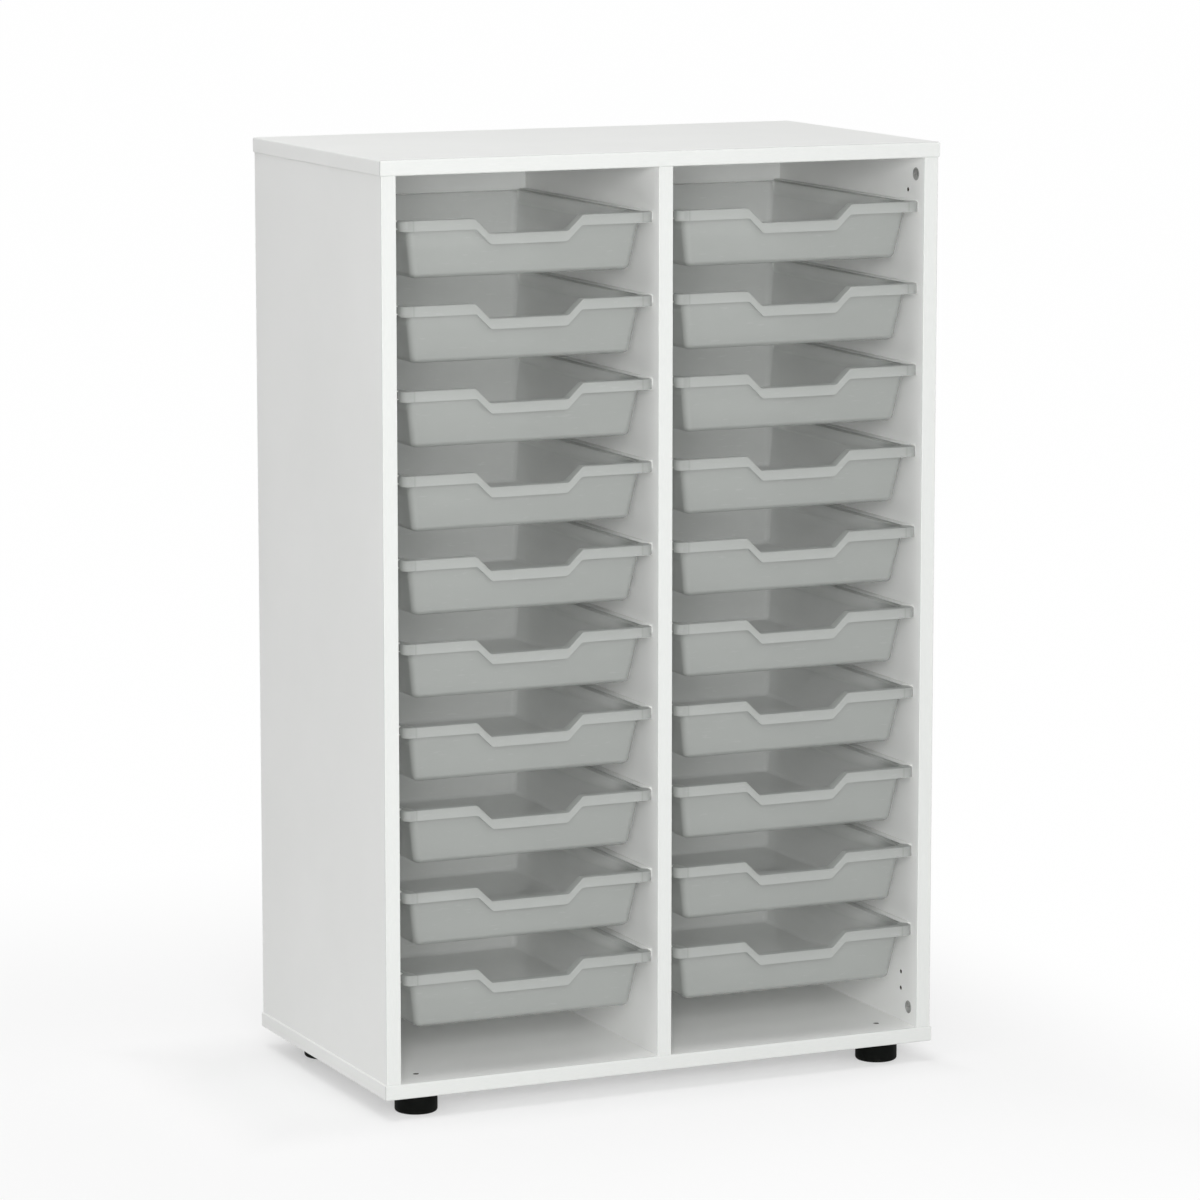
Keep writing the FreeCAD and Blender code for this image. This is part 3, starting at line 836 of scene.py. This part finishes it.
# Runners: a channel along each wall with a stop at its rear end, held by screws
runnerShape = {
    "width": 10.0,
    "web": 4.5,
    "slotTop": 1.2,
    "ledge": 1.5,
    "stop": 3.0,
    "edgeRound": 0.35,
    "screwsAt": (45, 180, 315),
    "headRadius": 3.1,
    "headHeight": 0.8,
    "headDepth": 1.2,
    "crossReach": 1.7,
    "crossWaist": 0.6,
    "crossDepth": 0.6,
    "overlap": 0.1,  # of the stop into the channel
}
runnerLook = {
    "plastic": shade(0.66, 0.67, 0.655),
    "streaks": shade(0.72, 0.73, 0.715),
    "roughness": 0.42,
    "drawn": 130,  # bumps a metre, drawn out along the channel
    "grain": 1500,
    "relief": 0.02 * mm,
}


def runnerFinish():
    look = runnerLook
    graph = Graph("runnerPlastic")
    place = graph.place()
    drawn = graph.noise(place, look["drawn"], 3, (1, 0.05, 1))
    grain = graph.noise(place, look["grain"], 2)
    return graph.finish({
        "Base Color": graph.mix(drawn.ramp(0.35, 0.7), look["plastic"], look["streaks"]),
        "Roughness": look["roughness"] + 0.12 * (drawn - 0.5) + 0.1 * (grain - 0.5),
        "Normal": graph.bump(grain + drawn, look["relief"]),
    })


def addBox(shape, low, high):
    verts = bmesh.ops.create_cube(shape, size=1)["verts"]
    size = Vector(high) - Vector(low)
    bmesh.ops.scale(shape, vec=size, verts=verts)
    bmesh.ops.translate(shape, vec=(Vector(low) + Vector(high)) / 2, verts=verts)


# The channel of the wall at the right: x from -width to 0, z down from the top
def addRunner(shape, length, height):
    r = runnerShape
    ledge = r["ledge"] - height
    section = [
        (0, 0), (-r["width"], 0), (-r["width"], -r["slotTop"]), (-r["web"], -r["slotTop"]),
        (-r["web"], ledge), (-r["width"], ledge), (-r["width"], -height), (0, -height),
    ]
    end = shape.faces.new([shape.verts.new((x, 0, z)) for x, z in section])
    made = bmesh.ops.extrude_face_region(shape, geom=[end])["geom"]
    far = [item for item in made if isinstance(item, bmesh.types.BMVert)]
    bmesh.ops.translate(shape, vec=(0, length, 0), verts=far)
    bmesh.ops.recalc_face_normals(shape, faces=shape.faces)
    bevel(shape, list(shape.edges), r["edgeRound"], 2)
    over = r["overlap"]
    low = (-r["width"], length - r["stop"], ledge - over)
    addBox(shape, low, (-r["web"] + over, length, over - r["slotTop"]))


def makeRunners(name, material):
    low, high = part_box(name)
    length = (high.y - low.y) / mm
    height = (high.z - low.z) / mm
    shape = bmesh.new()
    addRunner(shape, length, height)
    moveAll(shape, (high.x / mm, low.y / mm, high.z / mm))
    middle = centreOf(low, high)[0]
    bmesh.ops.mirror(
        shape, geom=shape.verts[:] + shape.edges[:] + shape.faces[:],
        matrix=Matrix.Translation((-middle, 0, 0)), merge_dist=1e-6, axis="X",
    )
    bmesh.ops.recalc_face_normals(shape, faces=shape.faces)
    pair = makePiece(name + "_channels", shape, material, "carcass")
    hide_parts(name)


def addScrews(shape, name):
    low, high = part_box(name)
    r = runnerShape
    level = (low.z + high.z) / 2 / mm + (r["ledge"] - r["slotTop"]) / 2
    for wall, side in ((low.x / mm, -1), (high.x / mm, 1)):
        for along in r["screwsAt"]:
            one = bmesh.new()
            addRecessedDisc(
                one, r["headRadius"], r["headDepth"], 0.5, 0.15,
                r["crossReach"], r["crossWaist"], r["crossDepth"], 16,
            )
            driven = Matrix.Rotation(math.radians(along * 7), 4, "Z")  # each at its own angle
            turn = Matrix.Rotation(math.radians(-90 * side), 4, "Y") @ driven
            spot = (wall - side * (r["web"] + r["headHeight"]), low.y / mm + along, level)
            bmesh.ops.transform(one, matrix=Matrix.Translation(spot) @ turn, verts=one.verts)
            addPart(shape, one)


channel = runnerFinish()
screws = bmesh.new()
for name in sorted(nodes):
    if name.startswith("runners_"):
        makeRunners(name, channel)
        addScrews(screws, name)
makePiece("runnerScrews", screws, steel, "carcass")
print("runners finished")

# Stage: a pale floor, a white surround and soft lamps
stageLook = {
    "floorSize": 90,
    "floor": shade(0.90, 0.90, 0.90),
    # how much of the floor is white glow, painted light laid by place: under the cabinet, beside
    # it and far off, and how far outside the cabinet's outline each share ends, in metres
    "placedGlow": (0.40, 0.74, 0.995),
    "placedGlowReach": (-0.05, 0.09, 1.1),
    "lean": 0.13,  # the shading reaches this much further at the left
    "steep": 2.5,  # and fades this many times faster at the right
    "surround": 0.20,
    # direction, distance, size and power of each soft lamp
    "lamps": {
        "front": ((-0.36, -0.92, 0.19), 6.0, 2.0, 231),
        "key": ((-0.10, -0.86, 0.42), 5.0, 3.2, 40),
        "over": ((-0.25, -0.1, 0.96), 5.0, 3.2, 115),
        "rear": ((0.85, 0.50, 0.40), 6.0, 3.2, 60),
    },
}


def seenDirectly(graph):
    rays = graph.add("ShaderNodeLightPath").socket.node.outputs
    seen = Wire(graph, rays["Is Camera Ray"]).higher(Wire(graph, rays["Is Glossy Ray"]))
    return seen.higher(Wire(graph, rays["Is Transmission Ray"]))


def makeFloor():
    shape = bmesh.new()
    bmesh.ops.create_grid(shape, x_segments=1, y_segments=1, size=stageLook["floorSize"] / 2)
    mesh = bpy.data.meshes.new("floor")
    shape.to_mesh(mesh)
    shape.free()
    floor = bpy.data.objects.new("floor", mesh)
    bpy.context.scene.collection.objects.link(floor)
    graph = Graph("paperFloor")
    axes = graph.axes(graph.place())
    low, high = cadBounds
    # how far a point of the floor lies outside the cabinet's outline, stretched at the left and
    # squeezed at the right
    leftward = low.x - stageLook["lean"] - axes[0]
    rightward = (axes[0] - high.x) * stageLook["steep"]
    away = leftward.higher(rightward).higher(low.y - axes[1]).higher(axes[1] - high.y)
    under, beside, far = stageLook["placedGlow"]
    inside, near, wide = stageLook["placedGlowReach"]
    # less painted-light glow near the cabinet lets the lamps' shadow show there; more glow further
    # out hides it
    placedGlow = under + (beside - under) * away.ramp(inside, near)
    placedGlow = placedGlow + (far - beside) * away.ramp(near, wide)
    plain = graph.add("ShaderNodeBsdfDiffuse", None, {"Color": stageLook["floor"]})
    glow = graph.add("ShaderNodeEmission", None, {"Color": shade(1, 1, 1), "Strength": 1.0})
    share = seenDirectly(graph) * placedGlow
    blend = graph.add("ShaderNodeMixShader", None, {0: share, 1: plain, 2: glow})
    graph.add("ShaderNodeOutputMaterial", None, {"Surface": blend})
    mesh.materials.append(graph.material)


def makeSurround():
    world = bpy.data.worlds.new("surround")
    world.use_nodes = True
    graph = Graph("surround", world.node_tree)
    low = stageLook["surround"]
    strength = low + (1 - low) * seenDirectly(graph)
    values = {"Color": shade(1, 1, 1), "Strength": strength}
    glow = graph.add("ShaderNodeBackground", None, values)
    graph.add("ShaderNodeOutputWorld", None, {"Surface": glow})
    bpy.context.scene.world = world


def makeLamp(name, direction, distance, size, power):
    lamp = bpy.data.lights.new(name, "AREA")
    lamp.shape = "SQUARE"
    lamp.size = size
    lamp.energy = power
    rig = bpy.data.objects.new(name, lamp)
    bpy.context.scene.collection.objects.link(rig)
    rig.visible_glossy = name != "front"  # its glare would burn out the top from behind
    aim = (cadBounds[0] + cadBounds[1]) / 2
    away = Vector(direction).normalized()
    rig.location = aim + away * distance
    rig.rotation_euler = away.to_track_quat("Z", "Y").to_euler()


makeFloor()
makeSurround()
for name, settings in stageLook["lamps"].items():
    makeLamp(name, *settings)

cameraPlace = {
    "location": (-2.5662, -5.6698, 1.5477),
    "lens": 158.81,
    "sensor": 36,
    "down": 9.068,  # degrees
    "right": 24.411,
    "reach": 200,
}
lensData = bpy.data.cameras.new("camera")
lensData.lens = cameraPlace["lens"]
lensData.sensor_width = cameraPlace["sensor"]
lensData.clip_end = cameraPlace["reach"]
camera = bpy.data.objects.new("camera", lensData)
camera.location = cameraPlace["location"]
tilt = math.radians(90 - cameraPlace["down"])
camera.rotation_euler = (tilt, 0, math.radians(-cameraPlace["right"]))
bpy.context.scene.collection.objects.link(camera)
bpy.context.scene.camera = camera
bpy.context.scene.view_settings.view_transform = "Standard"
print("stage set")

bpy.context.view_layer.update()
